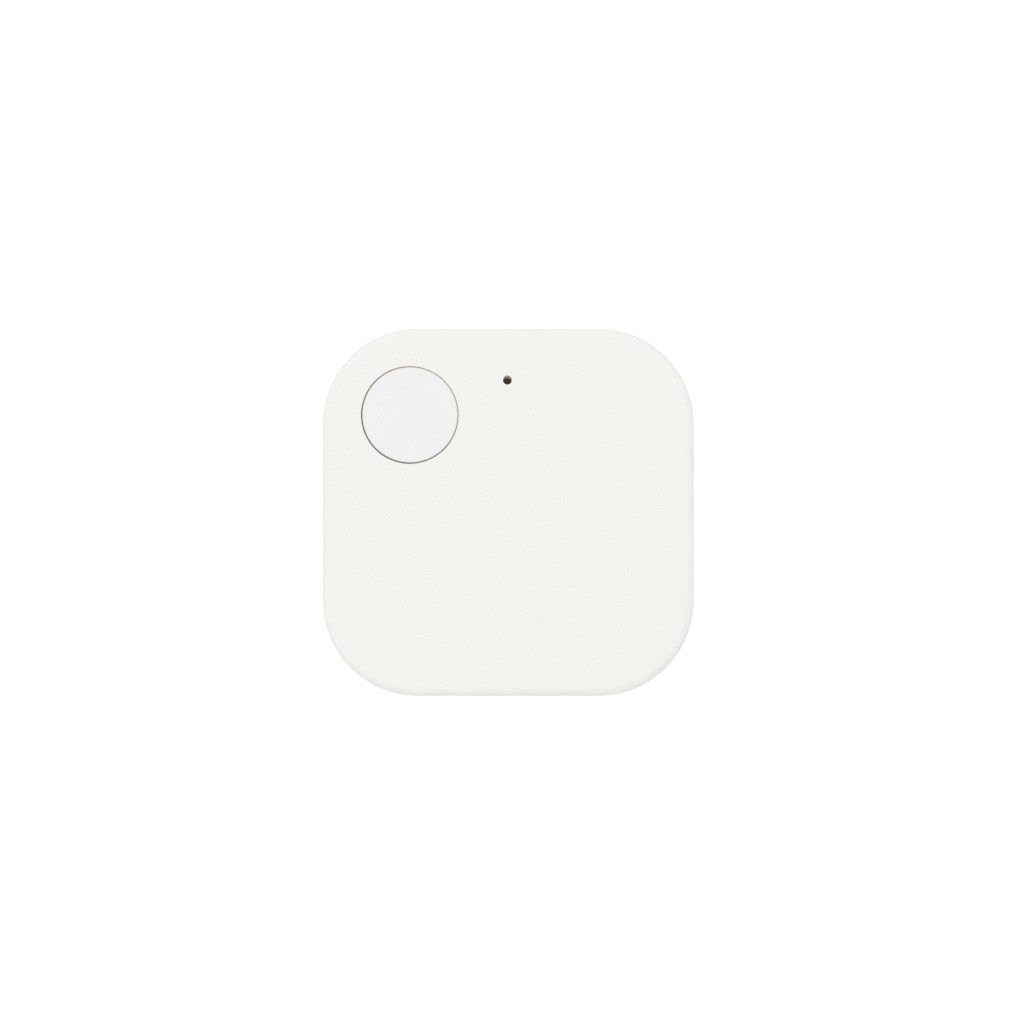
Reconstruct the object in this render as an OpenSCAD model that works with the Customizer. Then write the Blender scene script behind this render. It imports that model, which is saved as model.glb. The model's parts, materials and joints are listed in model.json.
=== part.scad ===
// Bluetooth tracker tag: a coin-cell key finder in a two-piece snap case.
// It lies on its back. X runs across the case, Y up it, and Z out of the front face.
// The origin is the centre of the rear face.

/* [Case] */
// Width of the case, along X
case_w = 37; // [37:0.1:40]
// Height of the case, along Y
case_h = 36.6; // [36.6:0.1:40]
// Thickness of the case, along Z
case_t = 6.4; // [6.4:0.1:7]
// Radius of the four corners
corner_r = 9.5; // [9:0.1:10]
// Radius that rounds the front and rear edges
edge_r = 0.8; // [0.6:0.1:1.4]
// Thickness of the side walls
wall = 1.5; // [1.4:0.05:1.6]
// Thickness of the front and rear faces
face_t = 1; // [0.8:0.1:1]
// Height of the seam between the two shells
seam_z = 2.9; // [2.8:0.1:3]

/* [Button] */
// Middle of the button, measured from the middle of the case
button_at = [-9.79, 9.66]; // [-10.2:0.01:10.2]
// Diameter of the round opening in the front face
opening_d = 9.67; // [9.2:0.01:9.8]
// Gap all round between the button and its opening
button_gap = 0.075; // [0.06:0.005:0.2]
// How far the button goes down when it clicks
button_travel = 0.25; // [0.15:0.01:0.25]

/* [Sound] */
// Middle of the sound hole, measured from the middle of the case
sound_at = [-0.08, 13.15]; // [-1:0.01:13.4]
// Diameter of the sound hole
sound_d = 0.88; // [0.6:0.01:1.2]
// How far the sound hole leans towards the lower side as it goes in, in degrees
sound_lean = 15; // [0:1:15]

/* [Coin cell] */
// Diameter of the coin cell
cell_d = 20; // [19.9:0.01:20]
// Thickness of the coin cell
cell_t = 3.2; // [3.1:0.01:3.2]
// Middle of the coin cell, measured from the middle of the case
cell_at = [5.6, -5.4]; // [-6:0.1:6]

/* [Circuit board] */
// Thickness of the board
board_t = 0.8; // [0.6:0.1:0.8]
// Height of the board's underside
board_z = 1.8; // [1.8:0.1:1.9]
// Gap between the board's edge and the case
board_gap = 0.25; // [0.2:0.05:0.4]

/* [Hidden] */
$fn = 96;

// Shells
straight = [case_w / 2 - corner_r, case_h / 2 - corner_r];
cavity_r = corner_r - wall;
inside_z = case_t - face_t;
seam_chamfer = 0.12;
lip_r = cavity_r + 0.7;
lip_top = seam_z + 0.9;
lip_root = 0.5;
rebate_r = lip_r + 0.08;
rebate_top = lip_top + 0.1;
bead_len = 6;
bead_h = 0.3;
bead_out = 0.06;
bead_z = lip_top - 0.5;
notch = [7, 0.65, 0.7];

// Button
opening_r = opening_d / 2;
cap_r = opening_r - button_gap;
cap_play = [0.027, 0.027];
cap_chamfer = 0.1;
opening_chamfer = 0.08;
flange_r = 5.5;
flange_t = 0.45;
flange_top = inside_z - 0.02;
collar_in = 5.75;
collar_out = 6.35;
collar_foot = 4;
retainer_t = 0.35;
retainer_in = 4.3;
retainer_top = flange_top - flange_t - button_travel - 0.06;

// Board and what stands on it
board_r = cavity_r - board_gap;
board_top = board_z + board_t;
stakes = [[14.6, 6], [-14.9, -8.6], [-2.3, 7.8]];
stake_r = 0.6;
stake_head = [1.1, 0.7, 0.35];
boss_r = 1.5;
posts = [[-15.3, 3.6], [12.4, 13], [-15, -12]];
post_r = 0.6;
chip_size = [5, 5, 0.85];
capacitor_size = [1, 0.5, 0.5];
resistor_size = [1, 0.5, 0.35];
lead_t = 0.15;

// Cell and its cradle
cell_r = cell_d / 2;
cell_z = board_z + 0.1;
cell_top = cell_z + cell_t;
cradle_in = cell_r + 0.15;
cradle_t = 0.6;
cradle_top = 3.5;
ledge_w = 0.8;
ledge_z = cell_z + 0.2;
board_arc = cradle_in + cradle_t + 0.25;
positive_at = 135;
negative_at = 180;
sheet_t = 0.15;

// Tact switch
switch_w = 4;
switch_z = board_top;
switch_base_h = 1.3;
well_r = 1.45;
well_h = 0.7;
dome_r = 1.4;
dome_h = 0.35;
dome_t = 0.06;
plunger_r = 1;
plunger_top = switch_z + 2;

// Buzzer
buzzer_w = 5;
buzzer_pad_t = 0.12;
buzzer_floor = board_top + 0.4;
buzzer_top = board_top + 2;
buzzer_wall = 0.35;

// ---- Shapes that repeat ----

// A quarter of a disc, in the corner between +X and +Y
module quarter_disc(r) {
    intersection() {
        circle(r);
        square([r, r]);
    }
}

// Carries a section round the case: its x runs out from the corners' centres, its y is height
module around() {
    for (i = [0:3]) {
        side = i % 2 == 0 ? straight : [straight.y, straight.x];
        rotate(90 * i) {
            translate([side.x, side.y, 0]) rotate([90, 0, 0]) linear_extrude(2 * side.y) children();
            translate([side.x, side.y, 0]) rotate_extrude(angle = 90) children();
        }
    }
}

// The block between the corners' centres
module core(z0, z1) {
    translate([-straight.x, -straight.y, z0]) cube([2 * straight.x, 2 * straight.y, z1 - z0]);
}

// A plate of the case's outline whose corners have radius r
module slab(r, z0, z1) {
    core(z0, z1);
    around() translate([0, z0]) square([r, z1 - z0]);
}

// The same outline as a ring
module frame_ring(r_in, r_out, z0, z1) {
    around() translate([r_in, z0]) square([r_out - r_in, z1 - z0]);
}

// Section of a shell's outside, from a chamfered seam at y = 0 up to a rounded edge
module outer_section(h) {
    polygon([
        [0, 0], [corner_r - seam_chamfer, 0], [corner_r, seam_chamfer],
        [corner_r, h - edge_r], [0, h - edge_r]
    ]);
    translate([0, h - edge_r]) square([corner_r - edge_r, edge_r]);
    translate([corner_r - edge_r, h - edge_r]) quarter_disc(edge_r);
}

module tube(r_in, r_out, z0, z1) {
    translate([0, 0, z0]) difference() {
        cylinder(r = r_out, h = z1 - z0);
        translate([0, 0, -1]) cylinder(r = r_in, h = z1 - z0 + 2);
    }
}

module disc(r, z0, z1) {
    translate([0, 0, z0]) cylinder(r = r, h = z1 - z0);
}

// A block centred in X and Y, standing on z
module block(size, z) {
    translate([-size.x / 2, -size.y / 2, z]) cube(size);
}

// The middle of each side of the case, facing out along +X
module each_side() {
    for (i = [0:3]) {
        rotate(90 * i) translate([i % 2 == 0 ? straight.x : straight.y, 0, 0]) children();
    }
}

module at(p) {
    translate([p.x, p.y, 0]) children();
}

// Places a part on the board's top face: p is [x, y, turn]
module on_board(p) {
    translate([p.x, p.y, board_top]) rotate(p[2]) children();
}

// A wedge from angle a to angle b, to cut or keep part of a ring
module wedge(a, b, r, z0, z1) {
    translate([0, 0, z0]) rotate(a) rotate_extrude(angle = b - a) square([r, z1 - z0]);
}

// ---- Case ----

module rear_shell() {
    color([0.95, 0.95, 0.935]) {
        difference() {
            union() {
                core(0, seam_z);
                around() translate([0, seam_z]) mirror([0, 1]) outer_section(seam_z);
            }
            slab(cavity_r, face_t, seam_z + 1);
            pry_notch();
        }
        rear_lip();
        board_bosses();
        at(cell_at) cell_cradle();
    }
}

// Tongue that slides inside the front shell, with a snap bead on each side
module rear_lip() {
    frame_ring(cavity_r, lip_r, seam_z - lip_root, lip_top);
    each_side() translate([lip_r - 0.2, -bead_len / 2, bead_z]) cube([0.2 + bead_out, bead_len, bead_h]);
}

// Slot for a fingernail or a coin, in the middle of the lower side
module pry_notch() {
    translate([-notch.x / 2, -case_h / 2 - 1, seam_z - notch.z]) cube([notch.x, 1 + notch.y, notch.z + 1]);
}

// Bosses that carry the board, each with a heat-staked pin through it
module board_bosses() {
    for (p = stakes) {
        at(p) {
            disc(boss_r, face_t - 0.1, board_z);
            disc(stake_r, board_z - 0.1, board_top + 0.1);
            translate([0, 0, board_top]) cylinder(r1 = stake_head[0], r2 = stake_head[1], h = stake_head[2]);
        }
    }
}

// Ring that locates the cell, with a ledge under its rim and gaps for the contacts and a fingertip
module cell_cradle() {
    difference() {
        union() {
            tube(cradle_in, cradle_in + cradle_t, face_t - 0.1, cradle_top);
            tube(cradle_in - ledge_w, cradle_in + 0.1, face_t - 0.1, ledge_z);
        }
        wedge(positive_at - 15, positive_at + 15, cell_r + 3, face_t, cradle_top + 1);
        wedge(negative_at - 13, negative_at + 13, cell_r + 3, face_t, cradle_top + 1);
        wedge(295, 335, cell_r + 3, face_t, cradle_top + 1);
    }
}

module front_shell() {
    color([0.96, 0.955, 0.94]) {
        difference() {
            union() {
                core(seam_z, case_t);
                around() translate([0, seam_z]) outer_section(case_t - seam_z);
            }
            slab(cavity_r, seam_z - 1, inside_z);
            frame_recess();
            at(button_at) button_opening();
            at(sound_at) translate([0, 0, case_t]) rotate([-sound_lean, 0, 0]) translate([0, 0, -2])
                cylinder(r = sound_d / 2, h = 3);
        }
        at(button_at) tube(collar_in, collar_out, collar_foot, inside_z + 0.1);
        for (p = posts) {
            at(p) disc(post_r, board_top + 0.05, inside_z + 0.1);
        }
    }
}

// Rebate for the rear shell's tongue, with a groove for each snap bead
module frame_recess() {
    slab(rebate_r, seam_z - 1, rebate_top);
    each_side() translate([rebate_r - 0.2, -bead_len / 2 - 0.3, bead_z - 0.1])
        cube([0.3, bead_len + 0.6, bead_h + 0.2]);
}

module button_opening() {
    disc(opening_r, inside_z - 1, case_t + 1);
    translate([0, 0, case_t - opening_chamfer])
        cylinder(r1 = opening_r, r2 = opening_r + opening_chamfer, h = opening_chamfer);
}

// Round cap with a flange that holds it in, and a pin that pushes the switch
module button_cap() {
    color([0.95, 0.95, 0.95]) at(button_at + cap_play) {
        disc(cap_r, flange_top - 0.1, case_t - cap_chamfer);
        translate([0, 0, case_t - cap_chamfer]) cylinder(r1 = cap_r, r2 = cap_r - cap_chamfer, h = cap_chamfer);
        disc(flange_r, flange_top - flange_t, flange_top);
        disc(plunger_r, plunger_top + 0.02, flange_top);
    }
}

// Ring pressed into the collar, which stops the flange from dropping out
module button_retainer() {
    color([0.9, 0.9, 0.88]) at(button_at) tube(retainer_in, collar_in, retainer_top - retainer_t, retainer_top);
}

// Perforated sheet behind the sound hole, which keeps dust out of the buzzer
mesh_pitch = 0.26;
mesh_hole = 0.15;
module dust_mesh() {
    color([0.16, 0.14, 0.12]) at(sound_at) difference() {
        disc(1.6, inside_z - 0.08, inside_z);
        for (x = [-2:2], y = [-2:2]) {
            translate([x * mesh_pitch, y * mesh_pitch, 0]) block([mesh_hole, mesh_hole, 1], inside_z - 0.5);
        }
    }
}

module buzzer_gasket() {
    color([0.15, 0.15, 0.15]) at(sound_at) tube(0.9, 1.6, buzzer_top + 0.02, inside_z - 0.08);
}

// Foam disc under the front face, which holds the cell down on its contact
module cell_pad() {
    color([0.2, 0.2, 0.21]) at(cell_at) disc(6, cell_top + 0.02, inside_z);
}

// ---- Circuit board ----

module circuit_board() {
    color([0.05, 0.3, 0.16]) difference() {
        slab(board_r, board_z, board_top);
        at(cell_at) disc(board_arc, 0, case_t);
        at(cell_at) translate([-8, -case_h, 0]) cube([case_w, case_h - 6, case_t]);
        at(cell_at) translate([6, -case_h, 0]) cube([case_w, case_h + 8, case_t]);
        for (p = stakes) {
            at(p) disc(stake_r + 0.06, 0, case_t);
        }
    }
}

// Meandered strip of bare copper that is the 2.4 GHz antenna
trace_w = 0.4;
trace_t = 0.05;
antenna_from = [-12.6, -15.1];
antenna_step = 0.9;
antenna_turns = 8;
antenna_h = 3.4;
module antenna_trace() {
    color([0.85, 0.6, 0.35]) translate([antenna_from.x, antenna_from.y, board_top]) {
        for (i = [0:antenna_turns]) {
            translate([i * antenna_step, 0, 0]) cube([trace_w, antenna_h, trace_t]);
        }
        for (i = [0:antenna_turns - 1]) {
            translate([i * antenna_step, i % 2 == 0 ? antenna_h - trace_w : 0, 0])
                cube([antenna_step + trace_w, trace_w, trace_t]);
        }
        translate([antenna_turns * antenna_step, antenna_h - 0.1, 0]) cube([trace_w, 2.1, trace_t]);
    }
}

chip_at = [-10.6, -0.6, 0];
module bluetooth_chip() {
    color([0.09, 0.09, 0.1]) on_board(chip_at) block(chip_size, 0);
}

module main_crystal() {
    color([0.75, 0.75, 0.76]) on_board([-11.4, -6, 0]) crystal([3.2, 2.5, 0.7]);
}

module clock_crystal() {
    color([0.75, 0.75, 0.76]) on_board([-15.1, -1.6, 90]) crystal([3.2, 1.5, 0.8]);
}

// Ceramic base with a smaller metal lid seamed on it
module crystal(size) {
    block([size.x, size.y, size.z * 0.6], 0);
    block([size.x - 0.4, size.y - 0.4, size.z * 0.4], size.z * 0.6);
}

capacitor_at = [
    [-6.9, 0.9, 90], [-6.9, -1.3, 90], [-11.8, 3.2, 0], [-9.6, 3.2, 0], [-13.9, -3.6, 90],
    [-8.2, -5.2, 90], [-6.4, -10, 90], [8.6, 14.4, 0], [3.6, 6.9, 0],
];
module capacitors() {
    color([0.72, 0.6, 0.45]) for (p = capacitor_at) {
        on_board(p) block(capacitor_size, 0);
    }
}

resistor_at = [[8.4, 11.9, 0], [8.4, 13.1, 0], [-5.4, 6.2, 0], [-15.2, 1.2, 90], [-6.9, -3.5, 90], [7.4, 9.4, 90]];
module resistors() {
    color([0.1, 0.1, 0.11]) for (p = resistor_at) {
        on_board(p) block(resistor_size, 0);
    }
}

inductor_at = [[-6.4, -7.7, 90], [-7.9, -9, 0]];
module rf_inductors() {
    color([0.35, 0.42, 0.55]) for (p = inductor_at) {
        on_board(p) block(capacitor_size, 0);
    }
}

module bulk_capacitor() {
    color([0.72, 0.6, 0.45]) on_board([11, 8.4, 0]) block([3.2, 1.6, 1.4], 0);
}

transistor_at = [5.3, 12.6, 0];
module drive_transistor() {
    color([0.09, 0.09, 0.1]) on_board(transistor_at) block([2.9, 1.3, 1], 0.1);
}

// Gull-wing leads: two on one side and one on the other
module transistor_leads() {
    color([0.8, 0.8, 0.8]) on_board(transistor_at) for (p = [[-0.95, -1], [0.95, -1], [0, 1]]) {
        translate([p.x, 0, 0]) lead(0.65, 0.55, 0.4, p.y);
    }
}

// A bent lead that leaves a body's side at y = out, steps down and lies on the board
module lead(out, reach, w, side) {
    scale([1, side, 1]) {
        translate([-w / 2, out, 0]) cube([w, reach, lead_t]);
        translate([-w / 2, out, 0]) cube([w, lead_t, 0.6]);
    }
}

diode_at = [5.3, 9.2, 0];
module flyback_diode() {
    color([0.09, 0.09, 0.1]) on_board(diode_at) block([1.7, 1.25, 0.95], 0.1);
}

module diode_leads() {
    color([0.8, 0.8, 0.8]) on_board(diode_at) for (s = [-1, 1]) {
        rotate(90) lead(0.85, 0.4, 0.35, s);
    }
}

module status_led() {
    color([0.92, 0.9, 0.75]) on_board([button_at.x, button_at.y + 4.2, 0]) {
        block([1.6, 0.8, 0.25], 0);
        block([1, 0.8, 0.25], 0.25);
    }
}

// ---- Tact switch ----

module switch_base() {
    color([0.12, 0.12, 0.13]) at(button_at) difference() {
        block([switch_w, switch_w, switch_base_h], switch_z);
        disc(well_r, switch_z + switch_base_h - well_h, switch_z + switch_base_h + 1);
    }
}

// Thin steel cap of a sphere, which snaps flat when it is pressed
module switch_dome() {
    sphere_r = (dome_r * dome_r + dome_h * dome_h) / (2 * dome_h);
    floor_z = switch_z + switch_base_h - well_h;
    color([0.75, 0.76, 0.78]) at(button_at) intersection() {
        translate([0, 0, floor_z + dome_h - sphere_r]) difference() {
            sphere(sphere_r);
            sphere(sphere_r - dome_t);
        }
        disc(dome_r + 1, floor_z, floor_z + dome_h + 1);
    }
}

module switch_plunger() {
    flange_z = switch_z + switch_base_h - 0.32;
    color([0.85, 0.83, 0.78]) at(button_at) {
        disc(plunger_r, flange_z, plunger_top);
        disc(plunger_r + 0.3, flange_z, flange_z + 0.27);
    }
}

module switch_cover() {
    top = switch_z + switch_base_h;
    color([0.8, 0.8, 0.82]) at(button_at) difference() {
        union() {
            block([switch_w, switch_w, sheet_t], top);
            for (s = [-1, 1]) {
                translate([0, s * (switch_w / 2 + sheet_t / 2), 0]) block([2, sheet_t, 0.9], top + sheet_t - 0.9);
            }
        }
        disc(plunger_r + 0.06, top - 1, top + 1);
    }
}

module switch_terminals() {
    color([0.8, 0.8, 0.8]) at(button_at) for (x = [-1, 1], y = [-1, 1]) {
        translate([x * (switch_w / 2 + 0.35), y * 1.2, 0]) block([0.7, 0.6, lead_t], switch_z);
    }
}

// ---- Buzzer ----

module buzzer_base() {
    color([0.1, 0.25, 0.15]) at(sound_at) block([buzzer_w, buzzer_w, 0.4 - buzzer_pad_t], board_top + buzzer_pad_t);
}

module buzzer_terminals() {
    color([0.85, 0.85, 0.82]) at(sound_at) for (x = [-1, 1], y = [-1, 1]) {
        translate([x * 1.8, y * 1.9, 0]) block([1.2, 1, buzzer_pad_t], board_top);
    }
}

// Steel plate with the core that the coil is wound on
module buzzer_yoke() {
    color([0.7, 0.7, 0.72]) at(sound_at) {
        disc(1.9, buzzer_floor, buzzer_floor + 0.2);
        disc(0.5, buzzer_floor, buzzer_floor + 0.9);
    }
}

module buzzer_coil() {
    color([0.75, 0.4, 0.2]) at(sound_at) tube(0.55, 1.15, buzzer_floor + 0.2, buzzer_floor + 0.8);
}

module buzzer_magnet() {
    color([0.3, 0.3, 0.32]) at(sound_at) tube(1.35, 1.9, buzzer_floor + 0.2, buzzer_floor + 1);
}

module buzzer_diaphragm() {
    color([0.75, 0.76, 0.78]) at(sound_at) {
        disc(2.05, buzzer_floor + 1, buzzer_floor + 1.06);
        disc(0.7, buzzer_floor + 1.06, buzzer_floor + 1.16);
    }
}

module buzzer_case() {
    inner = buzzer_w - 2 * buzzer_wall;
    color([0.1, 0.1, 0.1]) at(sound_at) difference() {
        block([buzzer_w, buzzer_w, buzzer_top - buzzer_floor], buzzer_floor);
        block([inner, inner, buzzer_top - buzzer_floor], buzzer_floor - 0.3);
        disc(0.5, buzzer_floor, buzzer_top + 1);
    }
}

// ---- Coin cell and its contacts ----

// Sheet-metal clip beside the cell: foot, riser, bridge and a finger that presses on the can
module positive_contact() {
    w = 4;
    foot_in = board_arc + 0.2;
    bridge_z = board_top + 1.9;
    finger_in = cell_r + 0.25;
    color([0.83, 0.78, 0.62]) at(cell_at) rotate(positive_at) {
        translate([foot_in, -w / 2, board_top]) cube([2.4, w, sheet_t]);
        translate([foot_in, -w / 2, board_top]) cube([sheet_t, w, bridge_z - board_top]);
        translate([finger_in, -w / 2, bridge_z - sheet_t])
            cube([foot_in - finger_in + sheet_t, w, sheet_t]);
        for (s = [-1, 1]) {
            translate([finger_in, s * 1.1 - 0.7, board_top + 0.4]) cube([sheet_t, 1.4, bridge_z - board_top - 0.4]);
            translate([finger_in, s * 1.1, board_top + 0.9]) rotate([0, -90, 0])
                cylinder(r1 = 0.5, r2 = 0.3, h = 0.2);
        }
    }
}

// Forked leaf under the cell, soldered to the board's underside
module negative_contact() {
    w = 3.4;
    tip = -1.6;
    color([0.83, 0.78, 0.62]) at(cell_at) rotate(negative_at) difference() {
        union() {
            translate([tip, -w / 2, board_z - sheet_t]) cube([board_arc + 3.2 - tip, w, sheet_t]);
            for (s = [-1, 1]) {
                translate([tip + 0.9, s, board_z]) cylinder(r1 = 0.6, r2 = 0.35, h = cell_z - board_z - 0.02);
            }
        }
        translate([tip - 1, -0.3, 0]) cube([9, 0.6, case_t]);
    }
}

// Steel cup, plus side up, with its rim turned in under the cell
module cell_can() {
    t = 0.25;
    round_r = 0.3;
    color([0.78, 0.79, 0.8]) at(cell_at) rotate_extrude() {
        translate([0, cell_top - t]) square([cell_r - round_r, t]);
        translate([cell_r - round_r, cell_top - round_r]) difference() {
            quarter_disc(round_r);
            circle(round_r - t);
        }
        translate([cell_r - t, cell_z + 0.45]) square([t, cell_t - 0.45 - round_r]);
        translate([cell_r - 0.85, cell_z + 0.25]) square([0.85, 0.2]);
    }
}

// Nylon ring that seals the cap into the can
module cell_gasket() {
    color([0.25, 0.25, 0.27]) at(cell_at) rotate_extrude() {
        translate([8.85, cell_z + 0.15]) square([0.3, 0.3]);
        translate([8.85, cell_z + 0.45]) square([0.9, 0.25]);
        translate([9.25, cell_z + 0.7]) square([0.5, 1.2]);
    }
}

// Smaller steel cup that is the minus side
module cell_cap() {
    color([0.74, 0.75, 0.76]) at(cell_at) rotate_extrude() {
        translate([0, cell_z]) square([8.85, 0.25]);
        translate([8.6, cell_z + 0.25]) square([0.25, 0.45]);
        translate([8.6, cell_z + 0.7]) square([0.65, 0.25]);
        translate([9, cell_z + 0.95]) square([0.25, 0.75]);
    }
}

module cell_anode() {
    color([0.8, 0.8, 0.78]) at(cell_at) disc(8.4, cell_z + 0.25, cell_z + 0.9);
}

module cell_separator() {
    color([0.95, 0.95, 0.93]) at(cell_at) disc(8.5, cell_z + 0.9, cell_z + 1);
}

module cell_cathode() {
    color([0.15, 0.15, 0.15]) at(cell_at) disc(8.8, cell_z + 1, cell_top - 0.25);
}

// ---- Nodes ----

rear_shell();
front_shell();
button_cap();
button_retainer();
dust_mesh();
buzzer_gasket();
cell_pad();
circuit_board();
antenna_trace();
bluetooth_chip();
main_crystal();
clock_crystal();
capacitors();
resistors();
rf_inductors();
bulk_capacitor();
drive_transistor();
transistor_leads();
flyback_diode();
diode_leads();
status_led();
switch_base();
switch_dome();
switch_plunger();
switch_cover();
switch_terminals();
buzzer_base();
buzzer_terminals();
buzzer_yoke();
buzzer_coil();
buzzer_magnet();
buzzer_diaphragm();
buzzer_case();
positive_contact();
negative_contact();
cell_can();
cell_gasket();
cell_cap();
cell_cathode();
cell_separator();
cell_anode();
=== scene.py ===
import json
import math

import bmesh
import bpy
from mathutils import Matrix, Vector, noise

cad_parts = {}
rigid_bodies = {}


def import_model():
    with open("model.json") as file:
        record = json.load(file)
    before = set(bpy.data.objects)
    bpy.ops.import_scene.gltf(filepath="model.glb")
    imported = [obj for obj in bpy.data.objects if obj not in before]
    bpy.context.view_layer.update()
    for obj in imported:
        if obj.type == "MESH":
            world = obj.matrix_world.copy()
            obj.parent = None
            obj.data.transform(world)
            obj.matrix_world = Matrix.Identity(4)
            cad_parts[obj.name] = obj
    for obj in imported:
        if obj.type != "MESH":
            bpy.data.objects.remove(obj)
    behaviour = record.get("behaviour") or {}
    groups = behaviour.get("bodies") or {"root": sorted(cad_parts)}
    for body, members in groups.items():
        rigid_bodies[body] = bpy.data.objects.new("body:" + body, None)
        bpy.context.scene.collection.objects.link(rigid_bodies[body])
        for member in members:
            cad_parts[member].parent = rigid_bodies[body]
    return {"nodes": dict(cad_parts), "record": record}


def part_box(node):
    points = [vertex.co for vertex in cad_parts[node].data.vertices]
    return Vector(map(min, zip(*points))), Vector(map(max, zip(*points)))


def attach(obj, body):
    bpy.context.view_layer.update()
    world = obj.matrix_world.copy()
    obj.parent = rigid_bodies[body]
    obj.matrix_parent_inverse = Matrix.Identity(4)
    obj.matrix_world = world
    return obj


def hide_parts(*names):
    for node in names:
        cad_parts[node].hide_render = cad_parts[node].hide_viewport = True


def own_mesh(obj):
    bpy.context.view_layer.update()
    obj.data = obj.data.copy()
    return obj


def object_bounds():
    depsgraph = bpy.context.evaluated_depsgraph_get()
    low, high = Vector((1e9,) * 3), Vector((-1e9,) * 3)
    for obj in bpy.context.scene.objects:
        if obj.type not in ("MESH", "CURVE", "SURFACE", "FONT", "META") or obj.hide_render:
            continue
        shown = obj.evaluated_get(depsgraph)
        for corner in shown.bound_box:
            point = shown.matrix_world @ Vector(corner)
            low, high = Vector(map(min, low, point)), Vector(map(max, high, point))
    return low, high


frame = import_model()
NODES = frame["nodes"]
for thing in list(bpy.data.objects):
    if thing.name not in NODES and not thing.name.startswith("body:"):
        bpy.data.objects.remove(thing)
CAD_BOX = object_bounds()
MM = 0.001


# ---- Materials ----


class Nodes:
    """A material's node tree, with short calls for the nodes that most surfaces need."""

    def __init__(self, name):
        self.material = bpy.data.materials.new(name)
        self.material.use_nodes = True
        self.tree = self.material.node_tree
        self.shader = self.tree.nodes["Principled BSDF"]
        self.place = self.tree.nodes.new("ShaderNodeTexCoord").outputs["Object"]

    def add(self, kind, sockets=(), **settings):
        node = self.tree.nodes.new(kind)
        for key, value in settings.items():
            setattr(node, key, value)
        for key, value in dict(sockets).items():
            if isinstance(value, bpy.types.NodeSocket):
                self.tree.links.new(value, node.inputs[key])
            else:
                node.inputs[key].default_value = value
        return node

    def noise(self, size, detail=3.0, place=None, stretch=None, rough=0.55):
        """Noise whose blotches are about size millimetres across."""
        where = place or self.place
        if stretch:
            where = self.add("ShaderNodeMapping", {"Vector": where, "Scale": stretch}).outputs[0]
        scale = 1.0 / (size * MM)
        sockets = {"Vector": where, "Scale": scale, "Detail": detail, "Roughness": rough}
        return self.add("ShaderNodeTexNoise", sockets).outputs["Fac"]

    def spread(self, value, low, high, start=0.3, end=0.7):
        sockets = {0: value, 1: start, 2: end, 3: low, 4: high}
        return self.add("ShaderNodeMapRange", sockets).outputs[0]

    def blend(self, factor, one, two):
        mix = self.add("ShaderNodeMix", data_type="RGBA")
        for slot, value in ((0, factor), (6, one), (7, two)):
            if isinstance(value, bpy.types.NodeSocket):
                self.tree.links.new(value, mix.inputs[slot])
            else:
                mix.inputs[slot].default_value = value if slot == 0 else (*value, 1.0)
        return mix.outputs[2]

    def bump(self, height, depth, under=None):
        sockets = {"Height": height, "Distance": depth * MM, "Strength": 1.0}
        if under:
            sockets["Normal"] = under
        return self.add("ShaderNodeBump", sockets).outputs[0]

    def math(self, operation, *values):
        return self.add("ShaderNodeMath", dict(enumerate(values)), operation=operation).outputs[0]

    def wire(self, **sockets):
        for key, value in sockets.items():
            name = key.replace("_", " ")
            if isinstance(value, bpy.types.NodeSocket):
                self.tree.links.new(value, self.shader.inputs[name])
            else:
                self.shader.inputs[name].default_value = value
        return self.material


def surface(name, one, two, rough, metal, blotch, grain, depth):
    """A surface of two near colours in broad blotches, with a fine grain in its gloss and its bump."""
    n = Nodes(name)
    broad, fine = n.noise(blotch), n.noise(grain, detail=4.0)
    return n.wire(
        Base_Color=n.blend(n.spread(broad, 0.0, 1.0), one, two),
        Metallic=metal,
        Roughness=n.spread(fine, rough[0], rough[1]),
        Normal=n.bump(fine, depth),
    )


# Millimetres: the size and height of the plastic's grain, and the middle and half height of the band below
# the face where dust and painted shade are tinted in
SPARK, SPARK_DEPTH = 0.2, 0.011
DUST_AND_SHADE_BELOW, DUST_AND_SHADE_HALF = 0.5, 0.47


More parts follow.
